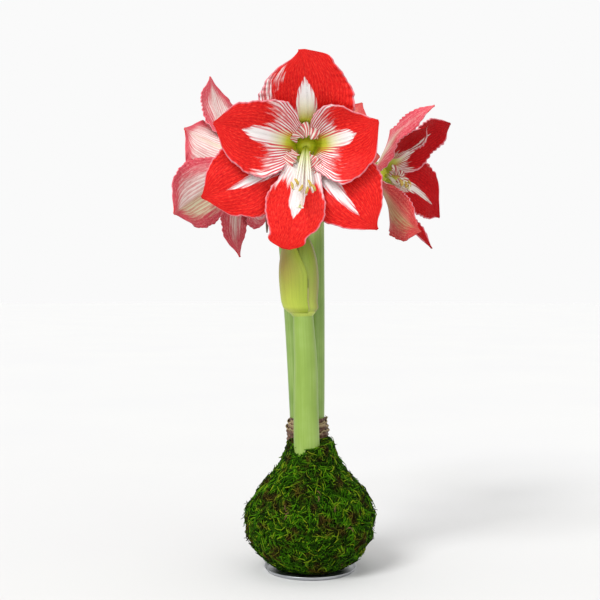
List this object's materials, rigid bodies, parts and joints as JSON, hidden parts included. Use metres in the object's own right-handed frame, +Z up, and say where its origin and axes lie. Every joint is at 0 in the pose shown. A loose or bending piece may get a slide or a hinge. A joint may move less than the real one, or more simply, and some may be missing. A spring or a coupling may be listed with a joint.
{
  "type": "amaryllis on a moss ball",
  "caption": "Flowering amaryllis: a bulb wrapped in a ball of moss on a shallow round metal dish, with tall green stems, open red and white blooms and a closed bud.",
  "frame": {"origin": "middle of the dish's flat underside, which is what the plant stands on", "axes": "+Z up along the stems, +X to the right and -Y towards the viewer, the way the open front bloom looks"},
  "size_m": [0.2676, 0.2664, 0.4828],
  "materials": {
    "dish_metal": "thin pressed steel, dull satin with a bright rim",
    "moss": "living cushion moss, matt, with stray strands",
    "bulb_skin": "dry brown bulb skin, papery and matt",
    "neck_scales": "torn brown papery scales with a pale edge",
    "stem_green": "smooth waxy green stem with a pale bloom",
    "bud_bract": "thin fleshy sheath, yellow-green going brown",
    "bud_flowers": "folded young petals, pale pinkish cream",
    "dry_husk": "withered brown sheath, papery and curled",
    "flower_tube": "smooth green flower stalk, pod and tube",
    "tepal": "velvety red petal with a white star stripe",
    "stamens": "cream-white filaments with yellow anthers",
    "pistil": "pale pink-white style with three lobes"
  },
  "bodies": {
    "root": {"dish": "dish_metal", "bulb": "bulb_skin", "moss": "moss", "stem_front": "stem_green", "stem_right": "stem_green", "stem_left": "stem_green", "neck_scale_inner": "neck_scales", "neck_scale_outer": "neck_scales", "husk_left": "dry_husk", "husk_right": "dry_husk", "bud_bract_left": "bud_bract", "bud_bract_right": "bud_bract", "bud_flowers": "bud_flowers", "bloom_front_stalk": "flower_tube", "bloom_front_tepal_1": "tepal", "bloom_front_tepal_2": "tepal", "bloom_front_tepal_3": "tepal", "bloom_front_tepal_4": "tepal", "bloom_front_tepal_5": "tepal", "bloom_front_tepal_6": "tepal", "bloom_front_stamens": "stamens", "bloom_front_pistil": "pistil", "bloom_right_stalk": "flower_tube", "bloom_right_tepal_1": "tepal", "bloom_right_tepal_2": "tepal", "bloom_right_tepal_3": "tepal", "bloom_right_tepal_4": "tepal", "bloom_right_tepal_5": "tepal", "bloom_right_tepal_6": "tepal", "bloom_right_stamens": "stamens", "bloom_right_pistil": "pistil", "bloom_left_stalk": "flower_tube", "bloom_left_tepal_1": "tepal", "bloom_left_tepal_2": "tepal", "bloom_left_tepal_3": "tepal", "bloom_left_tepal_4": "tepal", "bloom_left_tepal_5": "tepal", "bloom_left_tepal_6": "tepal", "bloom_left_stamens": "stamens", "bloom_left_pistil": "pistil", "bloom_back_stalk": "flower_tube", "bloom_back_tepal_1": "tepal", "bloom_back_tepal_2": "tepal", "bloom_back_tepal_3": "tepal", "bloom_back_tepal_4": "tepal", "bloom_back_tepal_5": "tepal", "bloom_back_tepal_6": "tepal", "bloom_back_stamens": "stamens", "bloom_back_pistil": "pistil"}
  },
  "joints": []
}
